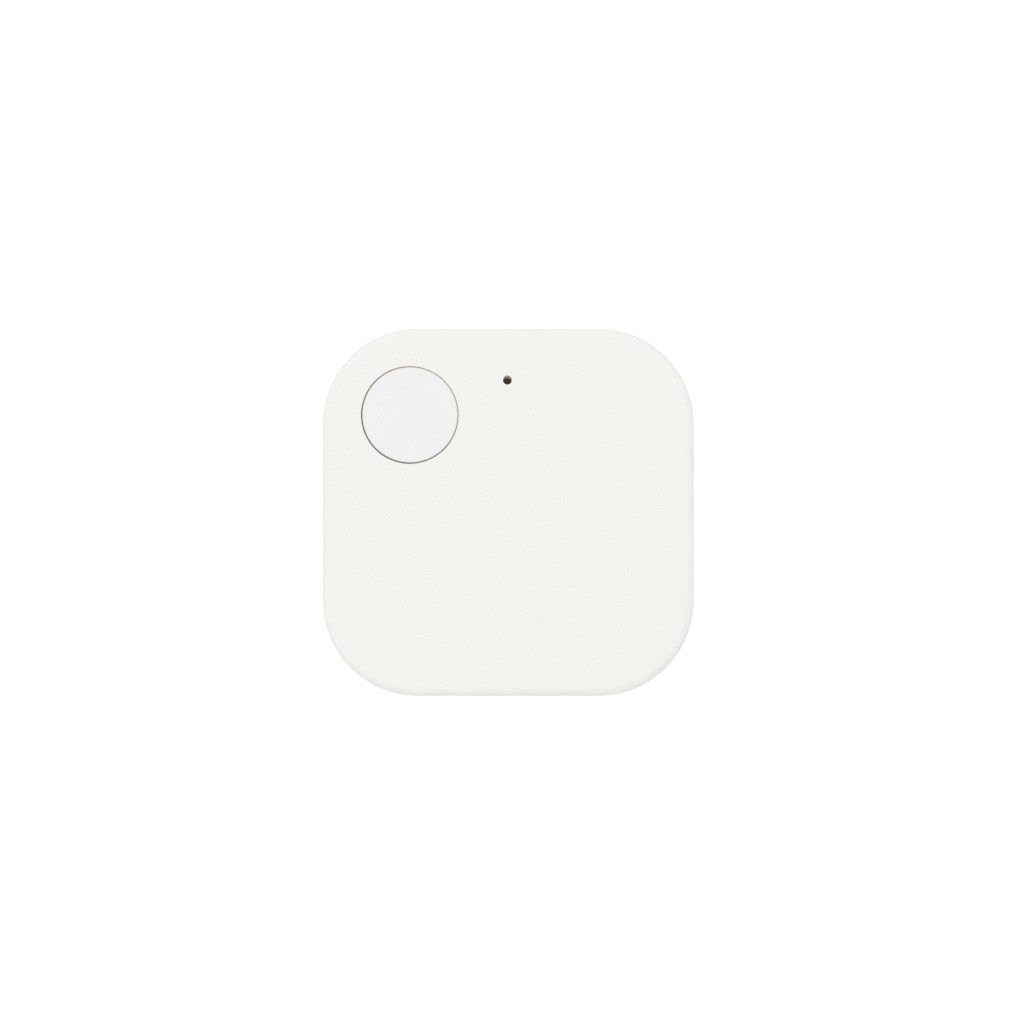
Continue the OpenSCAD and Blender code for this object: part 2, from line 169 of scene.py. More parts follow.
def moulded(name, one, two, edge, rough, dust_and_shade=()):
    """Matt moulded plastic: spark-eroded grain over faint flow marks, with painted shade, a darker and
    cooler colour, on rounded edges, which are also burnished smoother.

    The last argument lists (centre, radius, reach, colour): below the face, that near to a circle, a
    brownish colour paints settled dust and the shade of the recess together.
    """
    n = Nodes(name)
    flow = n.noise(14.0, detail=2.0)
    grain = n.noise(SPARK, detail=5.0, rough=0.6)
    coarse = n.noise(SPARK * 4, detail=2.0)
    polish = n.noise(5.0, detail=3.0)
    facing = n.add("ShaderNodeTexCoord").outputs["Normal"]
    up = n.math("ABSOLUTE", n.add("ShaderNodeSeparateXYZ", {"Vector": facing}).outputs["Z"])
    # Painted shade: the further the surface tilts from straight up or down, the more it takes the darker,
    # cooler edge colour; the same mask also makes it smoother
    edge_shade_and_burnish = n.spread(up, 1.0, 0.0, 0.45, 0.85)
    face = n.blend(n.spread(flow, 0.0, 1.0), one, two)
    tint = n.blend(edge_shade_and_burnish, face, edge)
    deep = n.add("ShaderNodeSeparateXYZ", {"Vector": n.place}).outputs["Z"]
    from_band = n.math("ABSOLUTE", n.math("SUBTRACT", deep, TOP - DUST_AND_SHADE_BELOW * MM))
    below = n.math("LESS_THAN", from_band, DUST_AND_SHADE_HALF * MM)
    # Dust and painted shade: walls below the face near each circle take a darker, brownish colour
    for centre, radius, reach, colour in dust_and_shade:
        flat = n.add("ShaderNodeVectorMath", {0: n.place, 1: (1, 1, 0)}, operation="MULTIPLY").outputs[0]
        away = n.add("ShaderNodeVectorMath", {0: flat, 1: (centre.x, centre.y, 0)}, operation="DISTANCE")
        off = n.math("ABSOLUTE", n.math("SUBTRACT", away.outputs["Value"], radius))
        near = n.math("MULTIPLY", n.spread(off, 1.0, 0.0, reach * 0.8, reach), below)
        tint = n.blend(near, tint, colour)
    speck = n.spread(grain, 0.945, 1.012, 0.32, 0.62)
    shaded = n.add("ShaderNodeHueSaturation", {"Color": tint, "Value": speck}).outputs[0]
    gloss = n.math("ADD", n.spread(grain, rough[0], rough[1]), n.spread(polish, -0.04, 0.04))
    swell = n.bump(coarse, SPARK_DEPTH * 0.3)
    return n.wire(
        Base_Color=shaded,
        Roughness=n.math("SUBTRACT", gloss, n.math("MULTIPLY", edge_shade_and_burnish, 0.05)),
        Specular_IOR_Level=0.42,
        Normal=n.bump(grain, SPARK_DEPTH, swell),
    )


def brushed(name, one, two, rough, centre):
    """Pressed steel with turned rings about a centre and fine scratches across them."""
    n = Nodes(name)
    ring, depth = 0.05, 0.0012    # millimetres
    shift = tuple(-c for c in centre)
    moved = n.add("ShaderNodeVectorMath", {0: n.place, 1: shift}, operation="ADD").outputs[0]
    flat = n.add("ShaderNodeVectorMath", {0: moved, 1: (1, 1, 0)}, operation="MULTIPLY").outputs[0]
    radius = n.add("ShaderNodeVectorMath", {0: flat}, operation="LENGTH").outputs["Value"]
    around = n.add("ShaderNodeCombineXYZ", {"X": radius}).outputs[0]
    rings = n.noise(ring, detail=4.0, place=around)
    scratch = n.noise(0.06, detail=2.0, stretch=(1.0, 0.03, 1.0))
    other = n.noise(0.05, detail=2.0, stretch=(0.05, 1.0, 1.0))
    smear = n.noise(2.2, detail=5.0)
    marks = n.math("MULTIPLY", n.spread(scratch, 0, 1, 0.62, 0.72), n.spread(other, 0, 1, 0.3, 0.6))
    gloss = n.math("ADD", n.spread(rings, rough[0], rough[1]), n.spread(smear, -0.02, 0.04))
    return n.wire(
        Base_Color=n.blend(n.spread(smear, 0.0, 1.0), one, two),
        Metallic=1.0,
        Roughness=gloss,
        Normal=n.bump(marks, -depth, n.bump(rings, depth)),
    )


def laminate(name):
    """Green solder mask on top of a glass-fibre board whose cut edge shows its layers."""
    n = Nodes(name)
    facing = n.add("ShaderNodeTexCoord").outputs["Normal"]
    up = n.add("ShaderNodeSeparateXYZ", {"Vector": facing}).outputs["Z"]
    side = n.math("LESS_THAN", n.math("ABSOLUTE", up), 0.5)
    cloud, weave = n.noise(6.0), n.noise(0.18, detail=2.0)
    mask = n.blend(n.spread(cloud, 0, 1), (0.010, 0.105, 0.050), (0.014, 0.135, 0.062))
    layers = n.noise(0.11, detail=1.0, stretch=(0.06, 0.06, 1.0))
    edge = n.blend(n.spread(layers, 0, 1, 0.4, 0.6), (0.30, 0.33, 0.16), (0.47, 0.46, 0.27))
    return n.wire(
        Base_Color=n.blend(side, mask, edge),
        Roughness=n.math("ADD", n.math("MULTIPLY", side, 0.35), n.spread(weave, 0.28, 0.38)),
        Specular_IOR_Level=0.35,
        Normal=n.bump(weave, 0.002),
    )


def foam(name, one, two):
    """Open-cell foam: paler cell walls round dark pits, whose darkness is painted shade."""
    n = Nodes(name)
    pore = 0.11 * MM
    cells = n.add("ShaderNodeTexVoronoi", {"Vector": n.place, "Scale": 1.0 / pore}).outputs["Distance"]
    # Painted shade: the pits at the cells' middles are darkened in the colour
    pore_shade, broad = n.spread(cells, 1.0, 0.0, 0.12, 0.42), n.noise(1.6)
    tint = n.blend(n.spread(broad, 0, 1), one, two)
    return n.wire(
        Base_Color=n.blend(pore_shade, tint, tuple(c * 0.22 for c in one)),
        Roughness=n.spread(broad, 0.86, 0.97),
        Normal=n.bump(cells, 0.03),
    )


def lens(name):
    """Milky epoxy over a yellow phosphor."""
    n = Nodes(name)
    cloud = n.noise(0.35, detail=2.0)
    return n.wire(
        Base_Color=n.blend(n.spread(cloud, 0, 1), (0.86, 0.78, 0.34), (0.90, 0.86, 0.60)),
        Roughness=n.spread(cloud, 0.16, 0.26),
        Normal=n.bump(cloud, 0.002),
        Subsurface_Weight=0.2,
        Subsurface_Scale=0.0004,
    )


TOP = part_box("front_shell")[1].z
cell_low, cell_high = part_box("cell_can")
CELL = Vector(((cell_low.x + cell_high.x) / 2, (cell_low.y + cell_high.y) / 2, cell_high.z))

# Dust and painted shade in the gap round the button and in the sound hole: centre, radius, reach and colour
GAP = (sum(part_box("button_cap"), Vector()) / 2, 4.82 * MM, 0.075 * MM, (0.77, 0.71, 0.61))
HOLE = (sum(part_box("dust_mesh"), Vector()) / 2, 0.0, 0.85 * MM, (0.74, 0.66, 0.56))

# Painted shade: the darker, cooler colour the plastic is given on its rounded edges and sides, by how far
# they tilt from straight up or down
SHADE = (0.738, 0.741, 0.745)
INNER_SHADE = (0.56, 0.56, 0.56)

M = {
    "shell_plastic": moulded(
        "shell_plastic_look", (0.808, 0.802, 0.779), (0.796, 0.791, 0.767), SHADE, (0.44, 0.56), (GAP, HOLE)
    ),
    "button_plastic": moulded(
        "button_plastic_look", (0.791, 0.783, 0.789), (0.783, 0.776, 0.780), SHADE, (0.40, 0.52), (GAP,)
    ),
    "inner_plastic": moulded(
        "inner_plastic_look", (0.62, 0.62, 0.60), (0.58, 0.58, 0.56), INNER_SHADE, (0.42, 0.55)
    ),
    "foam": foam("foam_look", (0.050, 0.050, 0.055), (0.075, 0.075, 0.080)),
    "board_laminate": laminate("board_laminate_look"),
    "led_lens": lens("led_lens_look"),
    "cell_steel": brushed("cell_steel_look", (0.455, 0.455, 0.45), (0.425, 0.425, 0.42), (0.22, 0.36), CELL),
}

# Two colours, the least and most roughness, metal, then the blotches, grain and bump in millimetres
FINISHES = {
    "mesh_cloth": ((0.085, 0.060, 0.036), (0.120, 0.085, 0.052), (0.55, 0.8), 0.0, 3.0, 0.03, 0.003),
    "board_mask": ((0.020, 0.185, 0.080), (0.026, 0.215, 0.092), (0.24, 0.34), 0.0, 3.0, 0.12, 0.001),
    "gold_plate": ((0.58, 0.40, 0.17), (0.50, 0.34, 0.14), (0.24, 0.40), 1.0, 1.5, 0.05, 0.001),
    "black_epoxy": ((0.021, 0.021, 0.023), (0.032, 0.032, 0.034), (0.42, 0.62), 0.0, 1.2, 0.05, 0.004),
    "resistor_glaze": ((0.012, 0.012, 0.014), (0.020, 0.021, 0.024), (0.22, 0.38), 0.0, 0.4, 0.04, 0.001),
    "alumina": ((0.72, 0.71, 0.67), (0.64, 0.63, 0.60), (0.5, 0.66), 0.0, 0.5, 0.04, 0.002),
    "crystal_can": ((0.46, 0.445, 0.42), (0.40, 0.39, 0.37), (0.26, 0.42), 1.0, 1.0, 0.05, 0.001),
    "capacitor_ceramic": ((0.44, 0.31, 0.19), (0.37, 0.25, 0.15), (0.38, 0.56), 0.0, 0.5, 0.04, 0.002),
    "inductor_ceramic": ((0.13, 0.17, 0.27), (0.17, 0.21, 0.33), (0.32, 0.5), 0.0, 0.5, 0.04, 0.001),
    "tinned_lead": ((0.50, 0.50, 0.49), (0.42, 0.42, 0.42), (0.24, 0.46), 1.0, 0.6, 0.06, 0.003),
    "solder": ((0.54, 0.54, 0.54), (0.46, 0.46, 0.46), (0.16, 0.34), 1.0, 0.25, 0.05, 0.004),
    "spring_steel": ((0.46, 0.46, 0.455), (0.39, 0.39, 0.39), (0.22, 0.36), 1.0, 1.4, 0.04, 0.001),
    "magnet": ((0.30, 0.30, 0.31), (0.22, 0.22, 0.23), (0.35, 0.55), 1.0, 0.8, 0.05, 0.003),
    "coil_copper": ((0.72, 0.32, 0.14), (0.62, 0.25, 0.10), (0.22, 0.38), 1.0, 0.5, 0.04, 0.001),
    "contact_plate": ((0.50, 0.465, 0.40), (0.43, 0.405, 0.35), (0.22, 0.38), 1.0, 1.5, 0.05, 0.0015),
    "cell_seal": ((0.10, 0.10, 0.11), (0.14, 0.14, 0.15), (0.4, 0.6), 0.0, 3.0, 0.12, 0.003),
    "cell_powder": ((0.030, 0.030, 0.030), (0.055, 0.055, 0.055), (0.7, 0.95), 0.0, 1.0, 0.08, 0.02),
    "cell_paper": ((0.82, 0.82, 0.79), (0.76, 0.76, 0.73), (0.8, 0.95), 0.0, 0.8, 0.05, 0.01),
    "cell_lithium": ((0.68, 0.68, 0.66), (0.56, 0.56, 0.55), (0.36, 0.56), 1.0, 1.5, 0.08, 0.004),
    # Dark oxide for the buzzer's diaphragm, partly painted shade for the inside of the sound hole
    "oxide_and_shade": ((0.10, 0.095, 0.09), (0.07, 0.066, 0.06), (0.4, 0.6), 1.0, 0.8, 0.05, 0.002),
    "ink": ((0.80, 0.80, 0.78), (0.72, 0.72, 0.70), (0.55, 0.7), 0.0, 0.6, 0.05, 0.001),
    "dark": ((0.012, 0.014, 0.013), (0.020, 0.022, 0.021), (0.6, 0.8), 0.0, 0.6, 0.05, 0.001),
}
for finish, values in FINISHES.items():
    M[finish] = surface(finish + "_look", *values)

SLOT_OF = {part["node"]: part["material_slot"] for part in frame["record"]["subparts"]}
for node_name, thing in NODES.items():
    # The diaphragm takes the dark oxide colour in place of its steel, which paints in part the shade seen
    # down the sound hole
    look = "oxide_and_shade" if node_name == "buzzer_diaphragm" else SLOT_OF[node_name]
    for material_slot in thing.material_slots:
        material_slot.material = M[look]


# ---- Mesh building ----


def piece(name, bm, look, body, sharp=35.0, replaces=()):
    """Makes an object of a bmesh, dressed and riding on its body."""
    bmesh.ops.remove_doubles(bm, verts=bm.verts, dist=1e-8)
    bmesh.ops.recalc_face_normals(bm, faces=bm.faces)
    mesh = bpy.data.meshes.new(name)
    bm.to_mesh(mesh)
    bm.free()
    mesh.materials.append(M[look])
    mesh.shade_smooth()
    mesh.set_sharp_from_angle(angle=math.radians(sharp))
    obj = bpy.data.objects.new(name, mesh)
    bpy.context.scene.collection.objects.link(obj)
    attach(obj, body)
    if replaces:
        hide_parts(*replaces)
    return obj


def round_off(bm, edges, width, segments=2):
    bmesh.ops.bevel(
        bm, geom=edges, offset=width, segments=segments, profile=0.6, affect="EDGES", clamp_overlap=True
    )


def prism(bm, outline, z0, z1, bevel=0.0, segments=2):
    """A closed prism over an outline of (x, y) points, with its top edges and corners rounded."""
    lower = [bm.verts.new((x, y, z0)) for x, y in outline]
    upper = [bm.verts.new((x, y, z1)) for x, y in outline]
    count = len(outline)
    faces = [bm.faces.new(list(reversed(lower))), bm.faces.new(upper)]
    for i in range(count):
        j = (i + 1) % count
        faces.append(bm.faces.new((lower[i], lower[j], upper[j], upper[i])))
    if bevel:
        edges = {e for f in faces for e in f.edges if not all(v in lower for v in e.verts)}
        round_off(bm, list(edges), bevel, segments)


def rectangle(low, high):
    return [(low[0], low[1]), (high[0], low[1]), (high[0], high[1]), (low[0], high[1])]


def circle(centre, radius, count=32):
    steps = [2 * math.pi * i / count for i in range(count)]
    return [(centre[0] + radius * math.cos(a), centre[1] + radius * math.sin(a)) for a in steps]


def brick(bm, low, high, bevel=0.03):
    prism(bm, rectangle(low, high), low[2], high[2], bevel * MM)


def lathe(bm, centre, profile, count=48):
    """A closed ring of profile points (radius, z) turned about a vertical axis."""
    rings = []
    for i in range(count):
        a = 2 * math.pi * i / count
        ca, sa = math.cos(a), math.sin(a)
        rings.append([bm.verts.new((centre[0] + r * ca, centre[1] + r * sa, z)) for r, z in profile])
    for i in range(count):
        one, two = rings[i], rings[(i + 1) % count]
        for k in range(len(profile)):
            m = (k + 1) % len(profile)
            if profile[k][0] > 1e-9 or profile[m][0] > 1e-9:
                bm.faces.new([one[k], two[k], two[m], one[m]])


def strip(bm, points, width, z0, z1):
    """A flat track of even width along a line of (x, y) points in millimetres, with mitred corners."""
    line = [Vector((x * MM, y * MM)) for x, y in points]
    half = width * MM / 2
    left, right = [], []
    for i, p in enumerate(line):
        before = (p - line[i - 1]).normalized() if i else (line[1] - p).normalized()
        after = (line[i + 1] - p).normalized() if i < len(line) - 1 else before
        mean = (before + after).normalized()
        normal = Vector((-mean.y, mean.x))
        reach = half / max(0.5, normal.dot(Vector((-before.y, before.x))))
        left.append(p + normal * reach)
        right.append(p - normal * reach)
    for i in range(len(line) - 1):
        corners = (right[i], right[i + 1], left[i + 1], left[i])
        low = [bm.verts.new((c.x, c.y, z0)) for c in corners]
        top = [bm.verts.new((c.x, c.y, z1)) for c in corners]
        bm.faces.new(top)
        bm.faces.new((low[0], low[1], top[1], top[0]))
        bm.faces.new((low[2], low[3], top[3], top[2]))
        if i == 0:
            bm.faces.new((low[3], low[0], top[0], top[3]))
        if i == len(line) - 2:
            bm.faces.new((low[1], low[2], top[2], top[1]))
        bm.faces.new(list(reversed(low)))


def skin(bm, rows):
    """A closed tube through rows of points."""
    for one, two in zip(rows, rows[1:]):
        for k in range(len(one)):
            m = (k + 1) % len(one)
            bm.faces.new((one[k], one[m], two[m], two[k]))
    bm.faces.new(rows[0])
    bm.faces.new(list(reversed(rows[-1])))


def fillet(bm, foot, out, width, reach, height, floor):
    """A concave solder fillet that climbs a terminal: foot is its middle there, out the way it spreads."""
    across = Vector((-out[1], out[0], 0))
    along = Vector((out[0], out[1], 0))
    profile = [(0.0, 0.0), (reach, 0.0)]
    for i in range(1, 6):
        a = math.pi / 2 * i / 6
        profile.append((reach * (1 - math.sin(a)), height * (1 - math.cos(a))))
    profile.append((0.0, height))
    rows = []
    for k in range(5):
        t = k / 4 * 2 - 1
        squeeze = math.sqrt(max(0.0, 1 - 0.75 * t * t))
        base = Vector((foot[0], foot[1], floor)) + across * (width / 2 * t)
        rows.append([bm.verts.new(base + along * (r * squeeze) + Vector((0, 0, z))) for r, z in profile])
    skin(bm, rows)


def islands(node):
    """The boxes of a CAD node's separate solids, as (low, high), in a steady order."""
    mesh = NODES[node].data
    key_of = [tuple(round(c, 7) for c in v.co) for v in mesh.vertices]
    parent = {k: k for k in key_of}

    def root(k):
        while parent[k] != k:
            parent[k] = parent[parent[k]]
            k = parent[k]
        return k

    for polygon in mesh.polygons:
        first = root(key_of[polygon.vertices[0]])
        for v in polygon.vertices[1:]:
            parent[root(key_of[v])] = first
    groups = {}
    for k in parent:
        groups.setdefault(root(k), []).append(k)
    boxes = []
    for points in groups.values():
        low = Vector([min(p[i] for p in points) for i in range(3)])
        high = Vector([max(p[i] for p in points) for i in range(3)])
        boxes.append((low, high))
    return sorted(boxes, key=lambda b: (round(b[0].x, 6), round(b[0].y, 6)))


# The board's upper face, and how far a land is sunk in it and stands out of it
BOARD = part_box("circuit_board")[1].z
LAND_FROM, LAND_TO = BOARD - 0.01 * MM, BOARD + 0.02 * MM


def settled(bm):
    """A copy with its points and faces in a fixed order, since rounding and cutting up leave any order."""
    points = sorted(bm.verts, key=lambda v: v.co[:])
    place = {v: i for i, v in enumerate(points)}
    rings = []
    for face in bm.faces:
        ring = [place[v] for v in face.verts]
        start = ring.index(min(ring))
        rings.append(ring[start:] + ring[:start])
    fresh = bmesh.new()
    verts = [fresh.verts.new(v.co) for v in points]
    for ring in sorted(rings):
        fresh.faces.new([verts[i] for i in ring])
    bm.free()
    return fresh


def softened(node, width, segments=2):
    """A copy of a CAD node with its sharp edges rounded off, in place of the plain one."""
    bm = bmesh.new()
    bm.from_mesh(NODES[node].data)
    bmesh.ops.remove_doubles(bm, verts=bm.verts, dist=1e-7)
    bmesh.ops.dissolve_limit(
        bm, angle_limit=math.radians(1), verts=bm.verts, edges=bm.edges, use_dissolve_boundaries=False
    )
    pairs = [e for e in bm.edges if len(e.link_faces) == 2 and e.calc_length() > width * 3 * MM]
    sharp = [e for e in pairs if e.calc_face_angle() > math.radians(50)]
    round_off(bm, sharp, width * MM, segments)
    bmesh.ops.triangulate(bm, faces=bm.faces)
    bmesh.ops.dissolve_degenerate(bm, dist=1e-6, edges=bm.edges)
    piece(node + "_soft_edged", settled(bm), SLOT_OF[node], "rear_half", replaces=(node,))


softened("buzzer_case", 0.09, 3)
softened("buzzer_base", 0.03)
softened("switch_base", 0.06)
softened("switch_cover", 0.035)
softened("switch_terminals", 0.03)
softened("buzzer_terminals", 0.02)
softened("positive_contact", 0.035)
softened("negative_contact", 0.03)


# ---- Chip components: bodies, end caps and solder ----

solder = bmesh.new()
lands = bmesh.new()
caps = bmesh.new()


def land(low, high, bevel=0.01):
    """A plated land on the board, between two corners (x, y)."""
    brick(lands, (low[0], low[1], LAND_FROM), (high[0], high[1], LAND_TO), bevel)


def two_ended(node, look, share, body_bevel=0.03, shrink=0.02, glaze=None):
    """Replaces a node of small blocks with bodies that have metal end caps, lands and solder."""
    bodies = bmesh.new()
    for low, high in islands(node):
        size = high - low
        along = 0 if size.x >= size.y else 1
        across = 1 - along
        end = size[along] * share
        inner_low, inner_high = low.copy(), high.copy()
        inner_low[along] += end * 0.6
        inner_high[along] -= end * 0.6
        inner_low[across] += shrink * MM
        inner_high[across] -= shrink * MM
        inner_high.z -= shrink * MM
        brick(bodies, inner_low, inner_high, body_bevel)
        if glaze is not None:
            top_low, top_high = inner_low.copy(), inner_high.copy()
            top_low[along] += end * 0.5
            top_high[along] -= end * 0.5
            top_low.z, top_high.z = inner_high.z - 0.01 * MM, inner_high.z + 0.015 * MM
            brick(glaze, top_low, top_high, 0.008)
        for sign in (-1, 1):
            cap_low, cap_high = low.copy(), high.copy()
            if sign < 0:
                cap_high[along] = low[along] + end
            else:
                cap_low[along] = high[along] - end
            brick(caps, cap_low, cap_high, 0.05)
            out = [0.0, 0.0]
            out[along] = float(sign)
            foot = [(low.x + high.x) / 2, (low.y + high.y) / 2]
            foot[along] = (high if sign > 0 else low)[along] - sign * 0.02 * MM
            reach = (0.16 + 0.12 * size.z / MM) * MM
            fillet(solder, foot, out, size[across] * 0.96, reach, size.z * 0.62, BOARD)
            land_low, land_high = cap_low.copy(), cap_high.copy()
            land_low[across] -= 0.05 * MM
            land_high[across] += 0.05 * MM
            if sign < 0:
                land_low[along] -= reach + 0.06 * MM
            else:
                land_high[along] += reach + 0.06 * MM
            land(land_low, land_high)
    piece(node + "_bodies", bodies, look, "rear_half", replaces=(node,))


two_ended("capacitors", "capacitor_ceramic", 0.25)
two_ended("bulk_capacitor", "capacitor_ceramic", 0.16, 0.08, 0.03)
two_ended("rf_inductors", "inductor_ceramic", 0.24)
resistor_glaze = bmesh.new()
two_ended("resistors", "alumina", 0.2, glaze=resistor_glaze)
piece("resistor_glaze", resistor_glaze, "resistor_glaze", "rear_half")


# ---- Radio chip ----


def radio_chip():
    """The chip's body, its first-pin dot, and eight leads with their solder on each side."""
    chip_low, chip_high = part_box("bluetooth_chip")
    middle = (chip_low + chip_high) / 2
    half = (chip_high.x - chip_low.x) / 2
    lead_pitch, wide, deep = 0.5 * MM, 0.12 * MM, 0.02 * MM
    land_reach, land_half = 0.34 * MM, 0.13 * MM
    bm = bmesh.new()
    brick(bm, chip_low + Vector((0, 0, 0.05 * MM)), chip_high, 0.04)
    piece("bluetooth_chip_body", bm, "black_epoxy", "rear_half", replaces=("bluetooth_chip",))
    dot = bmesh.new()
    spot = (chip_low.x + 0.75 * MM, chip_high.y - 0.75 * MM)
    top = chip_high.z
    ring = [(0.0, top), (0.24 * MM, top), (0.27 * MM, top + 0.004 * MM), (0.0, top + 0.004 * MM)]
    lathe(dot, spot, ring, 32)
    piece("bluetooth_chip_dot", dot, "resistor_glaze", "rear_half")
    for side in range(4):
        turn = side * math.pi / 2
        out = (round(math.cos(turn)), round(math.sin(turn)))
        for i in range(8):
            slide = (i - 3.5) * lead_pitch
            x = middle.x + out[0] * half - out[1] * slide
            y = middle.y + out[1] * half + out[0] * slide
            across = (abs(out[1]) * wide + abs(out[0]) * deep, abs(out[0]) * wide + abs(out[1]) * deep)
            low = (x - across[0], y - across[1], BOARD + 0.02 * MM)
            high = (x + across[0], y + across[1], BOARD + 0.25 * MM)
            brick(caps, low, high, 0.01)
            fillet(solder, (x, y), out, 0.22 * MM, 0.26 * MM, 0.16 * MM, BOARD)
            tip = (x + out[0] * land_reach, y + out[1] * land_reach)
            grow = (abs(out[1]) * land_half, abs(out[0]) * land_half)
            low = (min(x, tip[0]) - grow[0], min(y, tip[1]) - grow[1])
            high = (max(x, tip[0]) + grow[0], max(y, tip[1]) + grow[1])
            land(low, high, 0.008)


radio_chip()


# ---- Crystals, transistor, diode and LED ----


def crystals():
    """Both crystals: their drawn lids are one piece, and their ceramic bases and rims another."""
    lids, bases = bmesh.new(), bmesh.new()
    for node in ("main_crystal", "clock_crystal"):
        low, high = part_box(node)
        seam = low.z + (high.z - low.z) * 0.6
        brick(bases, low, Vector((high.x, high.y, seam)), 0.05)
        inset = Vector((0.2, 0.2, 0)) * MM
        rim_low, rim_high = low + inset * 0.5, high - inset * 0.5
        prism(bases, rectangle(rim_low, rim_high), seam - 0.01 * MM, seam + 0.05 * MM, 0.02 * MM)
        prism(lids, rectangle(low + inset, high - inset), seam, high.z, 0.09 * MM, 3)
        for x, sx in ((low.x, -1), (high.x, 1)):
            for y, sy in ((low.y, -1), (high.y, 1)):
                inner_x, inner_y = x - sx * 0.55 * MM, y - sy * 0.45 * MM
                land(
                    (min(x, inner_x) - 0.15 * MM, min(y, inner_y) - 0.12 * MM),
                    (max(x, inner_x) + 0.15 * MM, max(y, inner_y) + 0.12 * MM),
                )
                middle = (x, y - sy * 0.25 * MM)
                fillet(solder, middle, (sx, 0), 0.42 * MM, 0.15 * MM, 0.2 * MM, BOARD)
    piece("crystal_lids", lids, "crystal_can", "rear_half", replaces=("main_crystal",))
    piece("crystal_bases", bases, "alumina", "rear_half", replaces=("clock_crystal",))


crystals()


def moulded_package(node):
    """An epoxy package whose sides lean in from a parting line near half height."""
    low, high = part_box(node)
    bm = bmesh.new()
    middle, lean = (low.z + high.z) / 2 - 0.05 * MM, 0.09 * MM
    rings = []
    for z, inset in ((low.z, lean * 0.8), (middle, 0.0), (middle + 0.03 * MM, 0.0), (high.z, lean)):
        corners = rectangle((low.x + inset, low.y + inset), (high.x - inset, high.y - inset))
        rings.append([bm.verts.new((x, y, z)) for x, y in corners])
    bm.faces.new(list(reversed(rings[0])))
    top = bm.faces.new(rings[-1])
    for one, two in zip(rings, rings[1:]):
        for i in range(4):
            j = (i + 1) % 4
            bm.faces.new((one[i], one[j], two[j], two[i]))
    bmesh.ops.bevel(bm, geom=list(top.edges), offset=0.05 * MM, segments=2, profile=0.6, affect="EDGES")
    piece(node + "_body", bm, "black_epoxy", "rear_half", replaces=(node,))


moulded_package("drive_transistor")
moulded_package("flyback_diode")


def diode_band():
    """The printed band at one end of the diode."""
    low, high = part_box("flyback_diode")
    bm = bmesh.new()
    inset = 0.14 * MM
    band_low = (low.x + 0.22 * MM, low.y + inset, high.z - 0.002 * MM)
    band_high = (low.x + 0.5 * MM, high.y - inset, high.z + 0.006 * MM)
    brick(bm, band_low, band_high, 0.002)
    piece("diode_band", bm, "ink", "rear_half")


diode_band()


def sheet_path(bm, path, thick, side, width, along):
    """A bent strip of sheet: path is (place along, z) of its middle, and it runs width wide."""
    rows = []
    for i, (s, z) in enumerate(path):
        one = path[max(0, i - 1)]
        two = path[min(len(path) - 1, i + 1)]
        d = Vector((two[0] - one[0], two[1] - one[1])).normalized()
        n = Vector((-d.y, d.x)) * (thick / 2)
        ring = []
        for w, k in ((-1, 1), (1, 1), (1, -1), (-1, -1)):
            flat = [0.0, 0.0]
            flat[along] = s + n.x * k
            flat[1 - along] = side + w * width / 2
            ring.append(bm.verts.new((flat[0], flat[1], z + n.y * k)))
        rows.append(ring)
    skin(bm, rows)


def bent_leads():
    """Gull-wing leads with rounded bends in place of the square ones."""
    bm = bmesh.new()
    for node in ("transistor_leads", "diode_leads"):
        body_low, body_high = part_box("drive_transistor" if node == "transistor_leads" else "flyback_diode")
        middle = (body_low + body_high) / 2
        for low, high in islands(node):
            centre = (low + high) / 2
            size = high - low
            along = 1 if node == "transistor_leads" else 0
            sign = 1 if centre[along] > middle[along] else -1
            inner = (low if sign > 0 else high)[along]
            outer = (high if sign > 0 else low)[along]
            width = size[1 - along]
            side = centre[1 - along]
            thick, step = 0.13 * MM, 0.14 * MM
            high_z = high.z - thick / 2
            path = [(inner - sign * 0.1 * MM, high_z), (inner + sign * 0.02 * MM, high_z)]
            for i in range(1, 5):
                a = math.pi / 2 * i / 4
                along_by = 0.02 * MM + step * math.sin(a)
                path.append((inner + sign * along_by, high_z - step * (1 - math.cos(a))))
            bend = path[-1][0]
            low_z = low.z + thick / 2
            for i in range(5):
                a = math.pi / 2 * i / 4
                path.append((bend + sign * step * (1 - math.cos(a)), low_z + step * (1 - math.sin(a))))
            path.append((outer, low_z))
            sheet_path(bm, path, thick, side, width, along)
            out = [0.0, 0.0]
            out[along] = float(sign)
            foot = [side, side]
            foot[along] = outer - sign * 0.02 * MM
            fillet(solder, foot, out, width * 1.05, 0.18 * MM, 0.12 * MM, BOARD)
            land_low = [side - width * 0.75] * 2
            land_high = [side + width * 0.75] * 2
            land_low[along] = min(bend, outer + sign * 0.25 * MM)
            land_high[along] = max(bend, outer + sign * 0.25 * MM)
            land(land_low, land_high)
    piece("package_leads", bm, "tinned_lead", "rear_half", replaces=("transistor_leads", "diode_leads"))


bent_leads()


